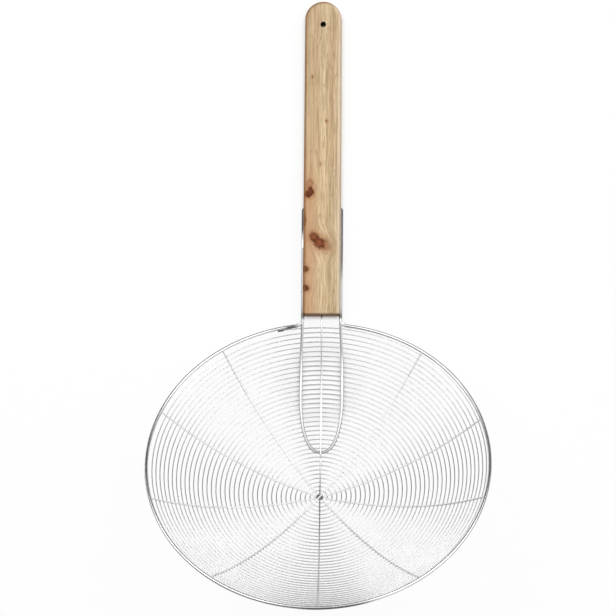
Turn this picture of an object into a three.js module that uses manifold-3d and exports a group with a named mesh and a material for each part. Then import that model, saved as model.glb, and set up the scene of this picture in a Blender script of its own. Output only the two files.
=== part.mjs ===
// Skimmer: a shallow spiral wire basket on a flat wooden handle. Millimetres, +Z up.
// Modelled with the rim level and the handle along +Y, then rolled to the pose in which it lies on a table.
import * as THREE from "three";
import { mergeVertices } from "three/addons/utils/BufferGeometryUtils.js";
import Module from "manifold-3d";

// Basket
const basket_diameter = 220;
const basket_depth = 40;
const rim_wire_diameter = 2.5;
const rib_wire_diameter = 1;
const spiral_wire_diameter = 0.75;
const support_wire_diameter = 2;
const spiral_turns = 37;
const spiral_inner_arc = 2.6;
const spiral_end_azimuth = 104;
const support_half_width = 14;
const support_end_arc = 32.8;
const support_shoulder_arc = 75;
const support_lift_off_arc = 96;
const support_roundness = 2.3;

// Ribs: the azimuth of each end on the rim, with the handle at 90. The spine runs from the handle to the
// far rim, the cross rib lies over it in the middle, and the other ribs end beside that crossing.
const spine_azimuths = [90, 271];
const cross_rib_azimuths = [53, 233];
const rib_azimuths = [18, 126, 159, 195, 307, 346];
const rib_inner_arc = 3.4;
const cross_hump_arc = 7;

// Handle
const handle_length = 208.6;
const handle_width = 24.6;
const handle_tip_width = 23.8;
const handle_thickness = 10.5;
const handle_edge_radius = 1.6;
const handle_rise = 27;
const hanging_hole_diameter = 3.4;
const hanging_hole_from_tip = 15.6;

// Where the wires enter the handle
const neck_length = 6;
const neck_bend = 4.2;
const tail_length = 71;
const tail_height = -1.75;
const leg_length = 44;
const leg_height = 1.55;
const staked_depth = 5.5;
const spine_depth = 12;
const lead_in = 1;
const bend_fullness = 0.6;
const spine_climb_start = 0.65;

// Fits and facets
const weld_gap = 0.3;
const wood_clearance = 0.25;
const rim_sides = 10;
const support_sides = 8;
const rib_sides = 6;
const spiral_sides = 4;
const bore_sides = 16;
const rim_steps = 84;
const neck_steps = 6;
const staked_steps = 4;
const support_round_steps = 10;
const support_leg_steps = 8;
const spine_steps = 14;
const spine_neck_steps = 6;
const rib_steps = 16;
const cross_rib_steps = 24;
const spiral_coarse_share = 0.08;
const spiral_middle_share = 0.4;
const tip_segments = 20;
const edge_segments = 3;
const gap_search_points = 60;

// Derived sizes
const degrees = Math.PI / 180;
const rim_radius = rim_wire_diameter / 2;
const rib_radius = rib_wire_diameter / 2;
const spiral_radius = spiral_wire_diameter / 2;
const support_radius = support_wire_diameter / 2;
const rim_centre_radius = basket_diameter / 2 - rim_radius;
const bowl_radius = (rim_centre_radius ** 2 + basket_depth ** 2) / (2 * basket_depth);
const bowl_centre_z = bowl_radius - basket_depth;
const rim_arc = bowl_radius * Math.asin(rim_centre_radius / bowl_radius);
const spiral_outer_arc = rim_arc - rim_radius - spiral_radius - 1.5 * weld_gap;
const spiral_pitch = (spiral_outer_arc - spiral_inner_arc) / spiral_turns;
const rib_lift = spiral_radius + rib_radius + weld_gap;
const rib_end_arc = rim_arc - rim_radius - weld_gap;
const cross_hump = rib_wire_diameter + weld_gap;
const support_lift = spiral_radius + support_radius + 2 * weld_gap;
const spine_over_support = support_lift + support_radius + rib_radius + weld_gap;

// A point at an arc length from the middle of the basket, lifted off the spiral towards the inside.
function bowl_point(arc, azimuth, lift) {
  const polar = arc / bowl_radius;
  const radius = bowl_radius - lift;
  const out = radius * Math.sin(polar);
  return new THREE.Vector3(
    out * Math.cos(azimuth * degrees),
    out * Math.sin(azimuth * degrees),
    bowl_centre_z - radius * Math.cos(polar),
  );
}

// The same on a flat pattern: across is along X and along is towards the handle.
function pattern_point(across, along, lift) {
  return bowl_point(Math.hypot(across, along), Math.atan2(along, across) / degrees, lift);
}

// A wire along a row of points, with a step at each point.
class WirePath extends THREE.Curve {
  constructor(points) {
    super();
    this.points = points;
  }
  getPoint(t, target = new THREE.Vector3()) {
    const place = Math.min(Math.max(t, 0), 1) * (this.points.length - 1);
    const low = Math.min(Math.floor(place), this.points.length - 2);
    return target.lerpVectors(this.points[low], this.points[low + 1], place - low);
  }
  getUtoTmapping(u) {
    return u;
  }
}

function wire(points, radius, sides) {
  const section = new THREE.Shape();
  for (let i = 0; i < sides; i++) {
    const turn = (2 * Math.PI * i) / sides;
    const x = radius * Math.cos(turn);
    const y = radius * Math.sin(turn);
    if (i === 0) section.moveTo(x, y);
    else section.lineTo(x, y);
  }
  section.closePath();
  return new THREE.ExtrudeGeometry(section, {
    steps: points.length - 1,
    extrudePath: new WirePath(points),
    bevelEnabled: false,
  });
}

function bezier(ends, steps) {
  const curve = new THREE.CubicBezierCurve3(...ends);
  return Array.from({ length: steps + 1 }, (_, i) => curve.getPoint(i / steps));
}

// A smooth way from one point, in the direction it is heading, to another that faces a seat.
function lead(from, heading, to, seat, steps) {
  const reach = from.distanceTo(to) / 3;
  const after = from.clone().add(heading.clone().setLength(reach));
  const before = to.clone().add(to.clone().sub(seat).setLength(reach));
  return bezier([from, after, before, to], steps);
}

// Handle frame: X across, Y along the handle from its basket end, Z out of its upper face.
const neck_half_width = handle_width / 2;
const neck_azimuth = Math.asin((neck_half_width + neck_bend) / rim_centre_radius);
const neck_corner_y = rim_centre_radius * Math.cos(neck_azimuth) + neck_bend * Math.tan(neck_azimuth);
const handle_frame = new THREE.Matrix4()
  .makeTranslation(0, neck_corner_y, 0)
  .multiply(new THREE.Matrix4().makeRotationX(handle_rise * degrees))
  .multiply(new THREE.Matrix4().makeTranslation(0, neck_length, -tail_height));
function handle_point(x, y, z) {
  return new THREE.Vector3(x, y, z).applyMatrix4(handle_frame);
}

// A wire end that runs up the side of the handle and turns into it, on the side of the given sign.
function staked_end(side, start, length, height, radius) {
  const x = side * neck_half_width;
  const bend = radius + weld_gap;
  const points = [handle_point(x, start, height), handle_point(x, length - bend, height)];
  for (let i = 1; i <= staked_steps; i++) {
    const turn = ((Math.PI / 2) * i) / staked_steps;
    const inward = x - side * bend * (1 - Math.cos(turn));
    points.push(handle_point(inward, length - bend + bend * Math.sin(turn), height));
  }
  points.push(handle_point(x - side * (bend + staked_depth), length, height));
  return points;
}

// Rim: round the basket, out at the neck and up the sides of the handle
function rim_half(side) {
  const from = new THREE.Vector3(
    side * rim_centre_radius * Math.sin(neck_azimuth),
    rim_centre_radius * Math.cos(neck_azimuth),
    0,
  );
  const corner = handle_point(side * neck_half_width, -neck_length, tail_height);
  const to = handle_point(side * neck_half_width, -neck_length + neck_bend, tail_height);
  const near_from = from.clone().lerp(corner, bend_fullness);
  const near_to = to.clone().lerp(corner, bend_fullness);
  const bend = bezier([from, near_from, near_to, to], neck_steps);
  return [...bend, ...staked_end(side, 0, tail_length, tail_height, rim_radius)];
}
const rim_ring = [];
for (let i = 1; i < rim_steps; i++) {
  const turn = neck_azimuth + ((2 * Math.PI - 2 * neck_azimuth) * i) / rim_steps;
  rim_ring.push(
    new THREE.Vector3(rim_centre_radius * Math.sin(turn), rim_centre_radius * Math.cos(turn), 0),
  );
}
const rim_points = [...rim_half(1).reverse(), ...rim_ring, ...rim_half(-1)];

// Support: a long U on the inside of the spiral, whose legs run up the sides of the handle
function support_half(side) {
  const points = [];
  for (let i = 1; i <= support_round_steps; i++) {
    const turn = ((Math.PI / 2) * i) / support_round_steps;
    const across = side * support_half_width * Math.sin(turn) ** (2 / support_roundness);
    const drop = Math.max(Math.cos(turn), 0) ** (2 / support_roundness);
    const along = support_shoulder_arc - (support_shoulder_arc - support_end_arc) * drop;
    points.push(pattern_point(across, along, support_lift));
  }
  const leg_point = (along) => pattern_point(side * support_half_width, along, support_lift);
  points.push(leg_point((support_shoulder_arc + support_lift_off_arc) / 2));
  const from = leg_point(support_lift_off_arc);
  const heading = from.clone().sub(leg_point(support_lift_off_arc - lead_in));
  const groove = (along) => handle_point(side * neck_half_width, along, leg_height);
  points.push(...lead(from, heading, groove(-lead_in), groove(0), support_leg_steps));
  points.push(...staked_end(side, lead_in, leg_length, leg_height, support_radius));
  return points;
}
const support_points = [
  ...support_half(1).reverse(),
  pattern_point(0, support_end_arc, support_lift),
  ...support_half(-1),
];

// Ribs: from beside the middle out to the rim, and one from rim to rim with a hump over the spine
function rib_side(azimuth, first_arc, lift_at, steps) {
  const points = [];
  for (let i = 0; i <= steps; i++) {
    const arc = first_arc + ((rib_end_arc - first_arc) * i) / steps;
    points.push(bowl_point(arc, azimuth, lift_at(arc)));
  }
  return points;
}
function rib_points(azimuth) {
  return rib_side(azimuth, rib_inner_arc, () => rib_lift, rib_steps);
}
function cross_rib_points() {
  const lift_at = (arc) => rib_lift + cross_hump * Math.exp(-((arc / cross_hump_arc) ** 2));
  const first = rib_side(cross_rib_azimuths[0], 0, lift_at, cross_rib_steps);
  const second = rib_side(cross_rib_azimuths[1], 0, lift_at, cross_rib_steps);
  return [...first.reverse(), ...second.slice(1)];
}

// Spine: lifts over the round end of the support and goes straight into the end of the handle
function spine_points() {
  const climb_start = support_end_arc * spine_climb_start;
  const climb = (arc) => {
    const share = THREE.MathUtils.smoothstep(arc, climb_start, support_end_arc);
    return rib_lift + (spine_over_support - rib_lift) * share;
  };
  const near_point = (arc) => bowl_point(arc, spine_azimuths[0], climb(arc));
  const near = [];
  for (let i = 1; i <= spine_steps; i++) near.push(near_point((support_shoulder_arc * i) / spine_steps));
  const from = near.pop();
  const heading = from.clone().sub(near_point(support_shoulder_arc - lead_in));
  near.push(...lead(from, heading, handle_point(0, -lead_in, 0), handle_point(0, 0, 0), spine_neck_steps));
  near.push(handle_point(0, spine_depth, 0));
  const far = rib_side(spine_azimuths[1], 0, () => rib_lift, rib_steps);
  return [...near.reverse(), ...far];
}

// Spiral: one wire wound outwards at a steady pitch, with a step where it crosses each rib
function spiral_points() {
  const crossings = [...spine_azimuths, ...cross_rib_azimuths, ...rib_azimuths];
  crossings.sort((a, b) => a - b);
  const first_azimuth = spiral_end_azimuth - 360 * spiral_turns;
  const arc_at = (azimuth) =>
    spiral_inner_arc + (spiral_pitch * (azimuth - first_azimuth)) / 360;
  const stops = [first_azimuth];
  for (let turn = -Math.ceil(spiral_turns) - 1; turn <= 1; turn++) {
    for (const azimuth of crossings) {
      const place = azimuth + 360 * turn;
      if (place > first_azimuth + 2 && place < spiral_end_azimuth - 2) stops.push(place);
    }
  }
  stops.push(spiral_end_azimuth);
  const points = [];
  for (let i = 0; i + 1 < stops.length; i++) {
    const arc = arc_at(stops[i]);
    const share = arc / rim_arc;
    const parts = share < spiral_coarse_share ? 1 : share < spiral_middle_share ? 2 : 3;
    for (let j = 0; j < parts; j++) {
      const azimuth = stops[i] + ((stops[i + 1] - stops[i]) * j) / parts;
      points.push(bowl_point(arc_at(azimuth), azimuth, 0));
    }
  }
  points.push(bowl_point(spiral_outer_arc, spiral_end_azimuth, 0));
  return points;
}

// Least gap of the spiral to itself, measured on points of one turn against the next
function least_gap(points, diameter) {
  let least = Infinity;
  for (let i = 0; i < points.length; i++) {
    let travelled = 0;
    for (let j = i + 1; j < points.length && j < i + gap_search_points; j++) {
      travelled += points[j].distanceTo(points[j - 1]);
      if (travelled > 4 * spiral_pitch) {
        least = Math.min(least, points[i].distanceTo(points[j]) - diameter);
      }
    }
  }
  return least;
}

// Handle: a rounded stick, less its holes and the channels for the wires
const wasm = await Module();
wasm.setup();
function solid_of(geometry) {
  const bare = new THREE.BufferGeometry();
  const flat = geometry.index ? geometry.toNonIndexed() : geometry;
  bare.setAttribute("position", flat.getAttribute("position"));
  const merged = mergeVertices(bare, 1e-4);
  return new wasm.Manifold(
    new wasm.Mesh({
      numProp: 3,
      vertProperties: merged.attributes.position.array,
      triVerts: new Uint32Array(merged.index.array),
    }),
  );
}
function geometry_of(solid) {
  const mesh = solid.getMesh();
  const geometry = new THREE.BufferGeometry();
  geometry.setAttribute("position", new THREE.BufferAttribute(mesh.vertProperties, mesh.numProp));
  geometry.setIndex(new THREE.BufferAttribute(mesh.triVerts, 1));
  geometry.computeVertexNormals();
  return geometry;
}
function handle_geometry() {
  const tip_radius = handle_tip_width / 2;
  const outline = new THREE.Shape();
  outline.moveTo(-handle_width / 2, 0);
  outline.lineTo(handle_width / 2, 0);
  outline.lineTo(tip_radius, handle_length - tip_radius);
  outline.absarc(0, handle_length - tip_radius, tip_radius, 0, Math.PI, false);
  outline.closePath();
  const blank = new THREE.ExtrudeGeometry(outline, {
    depth: handle_thickness - 2 * handle_edge_radius,
    bevelEnabled: true,
    bevelThickness: handle_edge_radius,
    bevelSize: handle_edge_radius,
    bevelOffset: -handle_edge_radius,
    bevelSegments: edge_segments,
    curveSegments: tip_segments,
  });
  blank.translate(0, 0, handle_edge_radius - handle_thickness / 2);
  const bore = (radius, length) => new THREE.CylinderGeometry(radius, radius, length, bore_sides);
  const quarter = Math.PI / 2;
  const hanging = bore(hanging_hole_diameter / 2, 2 * handle_thickness).rotateX(quarter);
  hanging.translate(0, handle_length - hanging_hole_from_tip, 0);
  const cuts = [hanging, bore(rib_radius + wood_clearance, 2 * (spine_depth + lead_in))];
  const seats = [
    [tail_length, tail_height, rim_radius],
    [leg_length, leg_height, support_radius],
  ];
  for (const side of [-1, 1]) {
    const x = side * neck_half_width;
    for (const [length, height, radius] of seats) {
      const cut = radius + wood_clearance;
      const depth = radius + weld_gap + staked_depth + lead_in;
      cuts.push(bore(cut, 2 * length).translate(x, 0, height));
      cuts.push(bore(cut, 2 * depth).rotateZ(quarter).translate(x, length, height));
    }
  }
  return geometry_of(cuts.reduce((rest, cut) => rest.subtract(solid_of(cut)), solid_of(blank)));
}

// Assembly
const steel = { color: 0xc4c7c9, metalness: 1, roughness: 0.3 };
const wood = { color: 0xc9a172, metalness: 0, roughness: 0.6 };
const skimmer = new THREE.Group();
function add(name, geometry, finish) {
  const mesh = new THREE.Mesh(geometry, new THREE.MeshStandardMaterial(finish));
  mesh.name = name;
  skimmer.add(mesh);
  return mesh;
}
add("handle", handle_geometry(), wood).applyMatrix4(handle_frame);
add("rim_wire", wire(rim_points, rim_radius, rim_sides), steel);
add("support_wire", wire(support_points, support_radius, support_sides), steel);
add("spine_wire", wire(spine_points(), rib_radius, rib_sides), steel);
add("cross_rib_wire", wire(cross_rib_points(), rib_radius, rib_sides), steel);
rib_azimuths.forEach((azimuth, i) => {
  add("rib_wire_" + (i + 1), wire(rib_points(azimuth), rib_radius, rib_sides), steel);
});
const spiral = spiral_points();
add("spiral_wire", wire(spiral, spiral_radius, spiral_sides), steel);
const spiral_gap = least_gap(spiral, spiral_wire_diameter);
console.log("least gap of spiral_wire to itself: " + spiral_gap.toFixed(2) + " mm");

// Roll until the bowl and the tip of the handle both touch the table, and stand it on the origin
const tip_edge = handle_point(0, handle_length - handle_edge_radius, -handle_thickness / 2);
const tip_drop = bowl_centre_z - tip_edge.z;
const tip_reach = Math.hypot(tip_edge.y, tip_drop);
const table_roll = Math.atan2(tip_edge.y, tip_drop) - Math.acos((bowl_radius + spiral_radius) / tip_reach);
skimmer.rotation.x = -table_roll;
const part = new THREE.Group();
part.add(skimmer);
part.updateMatrixWorld(true);
const box = new THREE.Box3().setFromObject(part, true);
const middle = box.getCenter(new THREE.Vector3());
skimmer.position.set(-middle.x, -middle.y, -box.min.z);

export default part;
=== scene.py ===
"""The looks of a skimmer: a shallow spiral wire basket on a flat wooden handle.

Every wire is a round section carried along its path, and the handle is a rounded stick with its holes and
channels cut out. Sizes and paths are the construction's, but the rim is a touch thinner and the spine starts
to climb over the support a little later. Lengths are in metres.
"""
import math

import bpy
import numpy as np
from mathutils import Matrix, Vector


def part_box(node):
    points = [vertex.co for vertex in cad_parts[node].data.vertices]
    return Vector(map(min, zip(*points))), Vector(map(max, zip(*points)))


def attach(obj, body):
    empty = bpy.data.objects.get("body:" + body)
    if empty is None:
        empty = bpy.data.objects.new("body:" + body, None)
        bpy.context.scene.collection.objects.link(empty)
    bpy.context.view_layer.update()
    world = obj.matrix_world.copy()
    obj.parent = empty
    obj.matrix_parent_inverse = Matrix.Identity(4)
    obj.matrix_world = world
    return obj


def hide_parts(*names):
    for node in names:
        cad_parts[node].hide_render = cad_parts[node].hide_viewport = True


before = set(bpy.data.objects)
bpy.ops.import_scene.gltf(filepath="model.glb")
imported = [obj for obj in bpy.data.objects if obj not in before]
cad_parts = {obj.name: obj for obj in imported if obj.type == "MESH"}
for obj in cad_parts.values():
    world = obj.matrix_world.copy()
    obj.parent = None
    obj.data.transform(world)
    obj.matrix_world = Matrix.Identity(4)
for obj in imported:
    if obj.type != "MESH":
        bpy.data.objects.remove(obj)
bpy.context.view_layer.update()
MM = 0.001

# Basket, with angles in degrees
BASKET_DIAMETER = 220 * MM
BASKET_DEPTH = 40 * MM
RIM_WIRE = 2.5 * MM
RIB_WIRE = 1.0 * MM
SPIRAL_WIRE = 0.75 * MM
SUPPORT_WIRE = 2.0 * MM
SPIRAL_TURNS = 37
SPIRAL_INNER_ARC = 2.6 * MM
SPIRAL_RIM_GAP = 0.45 * MM
SPIRAL_END_AZIMUTH = 104
SPIRAL_EASE = 9
SUPPORT_HALF_WIDTH = 14 * MM
SUPPORT_END_ARC = 32.8 * MM
SUPPORT_SHOULDER_ARC = 75 * MM
SUPPORT_LIFT_OFF_ARC = 96 * MM
SUPPORT_ROUNDNESS = 2.3

# Ribs: the azimuths of their ends, with the handle at 90, and how far from the rim's axis they end in radii
SPINE_AZIMUTHS = (90, 271)
CROSS_RIB_AZIMUTHS = (53, 233)
RIB_AZIMUTHS = (18, 126, 159, 195, 307, 346)
RIB_INNER_ARC = 3.4 * MM
RIB_END_SHARE = 0.7
CROSS_HUMP_ARC = 7 * MM
SPINE_CLIMB_START = 0.8

# Handle, with the inset in edge radii of the first ring on its flat faces, which keeps their shading flat
HANDLE_LENGTH = 208.6 * MM
HANDLE_WIDTH = 24.6 * MM
HANDLE_TIP_WIDTH = 23.8 * MM
HANDLE_THICKNESS = 10.5 * MM
HANDLE_EDGE = 1.6 * MM
HANDLE_CORNER = 1.9 * MM
FACE_INSET = 1.15
SHARP_ANGLE = math.radians(32)
HANDLE_RISE = math.radians(27)
HANGING_HOLE = 3.4 * MM
HANGING_HOLE_FROM_TIP = 15.6 * MM

# Where the wires enter the handle
NECK_LENGTH = 6 * MM
NECK_BEND = 4.2 * MM
BEND_FULLNESS = 0.6
TAIL_LENGTH = 71 * MM
TAIL_HEIGHT = -1.75 * MM
LEG_LENGTH = 44 * MM
LEG_HEIGHT = 1.55 * MM
STAKED_DEPTH = 5.5 * MM
SPINE_DEPTH = 12 * MM
WELD_GAP = 0.3 * MM
WOOD_CLEARANCE = 0.25 * MM
LEAD_IN = 1 * MM

# Welds: the half width of the one in the middle, and how far one wire sinks into the other
HUB_WELD = 2.5 * MM
WELD_SINK = 0.18 * MM

# Beads at the crossings: their place and half sizes as shares of the height between the two wires' axes
BEAD_PLACE = 0.35
BEAD_HALF_LENGTH = 1.1
BEAD_HALF_WIDTH = 0.65

# The most that a bead rises in rib wires, and where the first one lies in inner arcs of the ribs
BEAD_RISE = 0.8
BEAD_START = 1.5

# Faces of a bead, up to an angle in degrees above and below its equator
BEAD_SIDES = 8
BEAD_RINGS = 5
BEAD_CAP = 68

# Row of beads at the spiral's end: its stretch in degrees, and the beads' half size in spiral wires
END_BEADS = 5
END_BEAD_STRETCH = (-0.6, 1)
END_BEAD_SHARE = 0.8

# Sides of round sections, the domes at the wires' ends, and the play that keeps the rim in the solid's box
RIM_SIDES = 20
SUPPORT_SIDES = 18
RIB_SIDES = 12
SPIRAL_SIDES = 8
DRILL_SIDES = 32
END_DOME = 0.35
END_DOME_ANGLES = np.radians([25, 50, 72])
RIM_PLAY = 0.1 * MM

# Painted shade for shadows and dark reflections on the wires: its lengths at the rim's two ends, then where
# it starts, is full, fades and is gone, and its depth
RIM_END_PAINTED_SHADE = (36 * MM, 20 * MM)
SEAM_PAINTED_SHADE = (-24 * MM, -23 * MM, -17 * MM, -16 * MM)
FAR_RIM_PAINTED_SHADE = (-14 * MM, 0, 26 * MM, 40 * MM)
FAR_RIM_DEPTH = 0.9
MOUTH_PAINTED_SHADE = (-3.2 * MM, -1.4 * MM, 0, 2 * MM)
SIDE_PAINTED_SHADE = 0.4
RIGHT_LEG_PAINTED_SHADE = 0.5
RIGHT_LEG_STRETCH = (16 * MM, 36 * MM)

# Darkening of the support, and painted shade for a dark reflection on the spine: its depth, and the
# distances along y from the middle of the basket between which it comes or goes
SUPPORT_DARKENING = 0.42
SUPPORT_DARKENING_STRETCH = (42 * MM, 84 * MM)
SPINE_PAINTED_SHADE = 0.28
SPINE_PAINTED_SHADE_STRETCH = (25 * MM, 65 * MM)

# Derived sizes
RIM_RADIUS = (BASKET_DIAMETER - RIM_WIRE) / 2
BOWL_RADIUS = (RIM_RADIUS**2 + BASKET_DEPTH**2) / (2 * BASKET_DEPTH)
BOWL_CENTRE_Z = BOWL_RADIUS - BASKET_DEPTH
RIM_ARC = BOWL_RADIUS * math.asin(RIM_RADIUS / BOWL_RADIUS)
SPIRAL_OUTER_ARC = RIM_ARC - RIM_WIRE / 2 - SPIRAL_WIRE / 2 - SPIRAL_RIM_GAP
SPIRAL_PITCH = (SPIRAL_OUTER_ARC - SPIRAL_INNER_ARC) / SPIRAL_TURNS
SPIRAL_FIRST_AZIMUTH = SPIRAL_END_AZIMUTH - 360 * SPIRAL_TURNS
RIB_LIFT = (SPIRAL_WIRE + RIB_WIRE) / 2 - WELD_SINK
SUPPORT_LIFT = (SPIRAL_WIRE + SUPPORT_WIRE) / 2 - WELD_SINK
SPINE_LIFT = SUPPORT_LIFT + (SUPPORT_WIRE + RIB_WIRE) / 2 - WELD_SINK
CROSS_HUMP = RIB_WIRE - WELD_SINK
RIB_END_ARC = RIM_ARC - RIB_END_SHARE * RIM_WIRE / 2
HALF_WIDTH = HANDLE_WIDTH / 2
NECK_AZIMUTH = math.asin((HALF_WIDTH + NECK_BEND) / RIM_RADIUS)
NECK_CORNER_Y = RIM_RADIUS * math.cos(NECK_AZIMUTH) + NECK_BEND * math.tan(NECK_AZIMUTH)


def rows(x, y, z):
    """Points from their x, y and z, each a number or an array."""
    return np.stack(np.broadcast_arrays(x, y, z), axis=-1).astype(float)


def unit(vectors):
    """Vectors of length one."""
    return vectors / np.linalg.norm(vectors, axis=-1, keepdims=True)


def bowl(arc, azimuth, lift):
    """Point on the bowl's sphere: an arc length from its middle, an azimuth in degrees, lifted inwards."""
    polar = np.asarray(arc) / BOWL_RADIUS
    radius = BOWL_RADIUS - lift
    turn = np.radians(azimuth)
    out = radius * np.sin(polar)
    return rows(out * np.cos(turn), out * np.sin(turn), BOWL_CENTRE_Z - radius * np.cos(polar))


def pattern(across, along, lift):
    """Point of the bowl's flat pattern: across is along X, and along is towards the handle."""
    return bowl(np.hypot(across, along), np.degrees(np.arctan2(along, across)), lift)


def handle_at(x, y, z):
    """Point of the handle: x across it, y along it from its basket end and z out of its upper face."""
    along = y + NECK_LENGTH
    up = z - TAIL_HEIGHT
    lean, rise = math.cos(HANDLE_RISE), math.sin(HANDLE_RISE)
    return rows(x, NECK_CORNER_Y + along * lean - up * rise, along * rise + up * lean)


def rolled(points):
    """The skimmer turned about X until its bowl and the tip of its handle lie on one level."""
    points = np.asarray(points)
    x, y, z = np.moveaxis(points, -1, 0)
    turn, lean = math.sin(TABLE_ROLL), math.cos(TABLE_ROLL)
    return rows(x, y * lean + z * turn, z * lean - y * turn)


def placed(points):
    """Points of the skimmer where it lies on the table."""
    return rolled(points) + PLACE


tip_edge = handle_at(0, HANDLE_LENGTH - HANDLE_EDGE, -HANDLE_THICKNESS / 2)
tip_drop = BOWL_CENTRE_Z - tip_edge[2]
tip_reach = math.hypot(tip_edge[1], tip_drop)
TABLE_ROLL = math.atan2(tip_edge[1], tip_drop) - math.acos((BOWL_RADIUS + SPIRAL_WIRE / 2) / tip_reach)
tip_end = rolled(handle_at(0, HANDLE_LENGTH, np.array([-1, 1]) * (HANDLE_THICKNESS / 2 - HANDLE_EDGE)))
PLACE = np.array([
    0,
    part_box("handle")[1].y - tip_end[:, 1].max(),
    BOWL_RADIUS + SPIRAL_WIRE / 2 - BOWL_CENTRE_Z * math.cos(TABLE_ROLL),
])
BASKET_AXIS = rolled(np.array([0.0, 0.0, 1.0]))


# Paths
def bezier(ends, steps):
    """Cubic curve of four control points, at even steps."""
    t = np.linspace(0, 1, steps + 1)[:, None]
    a, b, c, d = ends
    return (1 - t) ** 3 * a + 3 * (1 - t) ** 2 * t * b + 3 * (1 - t) * t**2 * c + t**3 * d


def lead(start, heading, end, seat, steps):
    """Smooth way from a point, in the direction it is heading, to another that faces its seat."""
    reach = np.linalg.norm(end - start) / 3
    after = start + unit(heading) * reach
    before = end + unit(end - seat) * reach
    return bezier((start, after, before, end), steps)


def staked_end(side, first, length, height, wire):
    """Wire end that runs up the side of the handle and turns into it by a quarter circle."""
    x = side * HALF_WIDTH
    bend = wire / 2 + WELD_GAP
    turn = np.linspace(0, math.pi / 2, 9)
    quarter = handle_at(
        x - side * bend * (1 - np.cos(turn)), length - bend + bend * np.sin(turn), height
    )
    run = handle_at(x, np.linspace(first, length - bend, 12)[:-1], height)
    last = handle_at(x - side * (bend + STAKED_DEPTH), length, height)
    return np.vstack([run, quarter, last[None]])


def rim_path():
    """Rim circle from one side of the neck round to the other, both ends bent up the handle's sides."""

    def neck(side):
        start = rows(side * RIM_RADIUS * math.sin(NECK_AZIMUTH), RIM_RADIUS * math.cos(NECK_AZIMUTH), 0)
        corner = handle_at(side * HALF_WIDTH, -NECK_LENGTH, TAIL_HEIGHT)
        end = handle_at(side * HALF_WIDTH, NECK_BEND - NECK_LENGTH, TAIL_HEIGHT)
        near_start = start + (corner - start) * BEND_FULLNESS
        near_end = end + (corner - end) * BEND_FULLNESS
        tail = staked_end(side, 0, TAIL_LENGTH, TAIL_HEIGHT, RIM_WIRE)
        return np.vstack([bezier((start, near_start, near_end, end), 20), tail])

    turn = np.linspace(NECK_AZIMUTH, 2 * math.pi - NECK_AZIMUTH, 361)[1:-1]
    ring = rows(RIM_RADIUS * np.sin(turn), RIM_RADIUS * np.cos(turn), 0)
    return np.vstack([neck(1)[::-1], ring, neck(-1)])


def support_round(side, turn):
    """Half of the support's round end: a superellipse on the flat pattern of the bowl."""
    power = 2 / SUPPORT_ROUNDNESS
    across = side * SUPPORT_HALF_WIDTH * np.sin(turn) ** power
    drop = np.maximum(np.cos(turn), 0) ** power
    return across, SUPPORT_SHOULDER_ARC - (SUPPORT_SHOULDER_ARC - SUPPORT_END_ARC) * drop


def support_path():
    """Long U on the inside of the spiral, whose legs leave the bowl and run up the handle's sides."""

    def half(side):
        turn = np.linspace(0, math.pi / 2, 49)[1:]
        across, along = support_round(side, turn)
        across_leg = side * SUPPORT_HALF_WIDTH
        leg = pattern(across_leg, np.linspace(SUPPORT_SHOULDER_ARC, SUPPORT_LIFT_OFF_ARC, 12), SUPPORT_LIFT)
        heading = leg[-1] - pattern(across_leg, SUPPORT_LIFT_OFF_ARC - LEAD_IN, SUPPORT_LIFT)
        mouth = handle_at(side * HALF_WIDTH, -LEAD_IN, LEG_HEIGHT)
        seat = handle_at(side * HALF_WIDTH, 0, LEG_HEIGHT)
        rise = lead(leg[-1], heading, mouth, seat, 24)
        run = staked_end(side, LEAD_IN, LEG_LENGTH, LEG_HEIGHT, SUPPORT_WIRE)
        return np.vstack([pattern(across, along, SUPPORT_LIFT), leg[1:-1], rise, run])

    return np.vstack([half(1)[::-1], pattern(0, SUPPORT_END_ARC, SUPPORT_LIFT)[None], half(-1)])


def smooth_step(value, low, high):
    """0 below low, 1 above high and s^2 (3 - 2 s) between them, with s the share of the way."""
    share = np.clip((value - low) / (high - low), 0, 1)
    return share * share * (3 - 2 * share)


def between(value, stops):
    """0 before the first stop, 1 from the second to the third and 0 after the fourth, with smooth slopes."""
    start, full, fade, gone = stops
    return smooth_step(value, start, full) * (1 - smooth_step(value, fade, gone))


def length_along(path):
    """Length of a path from its start to each of its points."""
    return np.concatenate([[0], np.cumsum(np.linalg.norm(np.diff(path, axis=0), axis=1))])


def rib_path(azimuth, first=RIB_INNER_ARC, steps=160):
    """Rib on the inside of the spiral, from beside the middle out to the rim."""
    return bowl(np.linspace(first, RIB_END_ARC, steps), azimuth, RIB_LIFT)


def cross_rib_path():
    """Rib from rim to rim, with a hump over the spine of the form exp(-(arc / width)^2)."""

    def half(azimuth):
        arc = np.linspace(0, RIB_END_ARC, 180)
        return bowl(arc, azimuth, RIB_LIFT + CROSS_HUMP * np.exp(-((arc / CROSS_HUMP_ARC) ** 2)))

    return np.vstack([half(CROSS_RIB_AZIMUTHS[0])[:0:-1], half(CROSS_RIB_AZIMUTHS[1])])


def spine_path():
    """Rib that climbs over the support's round end and goes straight into the end of the handle."""

    def near(arc):
        climb = smooth_step(arc, SPINE_CLIMB_START * SUPPORT_END_ARC, SUPPORT_END_ARC)
        return bowl(arc, SPINE_AZIMUTHS[0], RIB_LIFT + (SPINE_LIFT - RIB_LIFT) * climb)

    arc = np.linspace(0, SUPPORT_SHOULDER_ARC, 120)[1:]
    climb = near(arc)
    heading = climb[-1] - near(SUPPORT_SHOULDER_ARC - LEAD_IN)
    rise = lead(climb[-1], heading, handle_at(0, -LEAD_IN, 0), handle_at(0, 0, 0), 40)
    seat = handle_at(0, np.linspace(0, SPINE_DEPTH, 5), 0)
    far = rib_path(SPINE_AZIMUTHS[1], 0)
    return np.vstack([seat[::-1], rise[::-1], climb[-2::-1], far])


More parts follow.
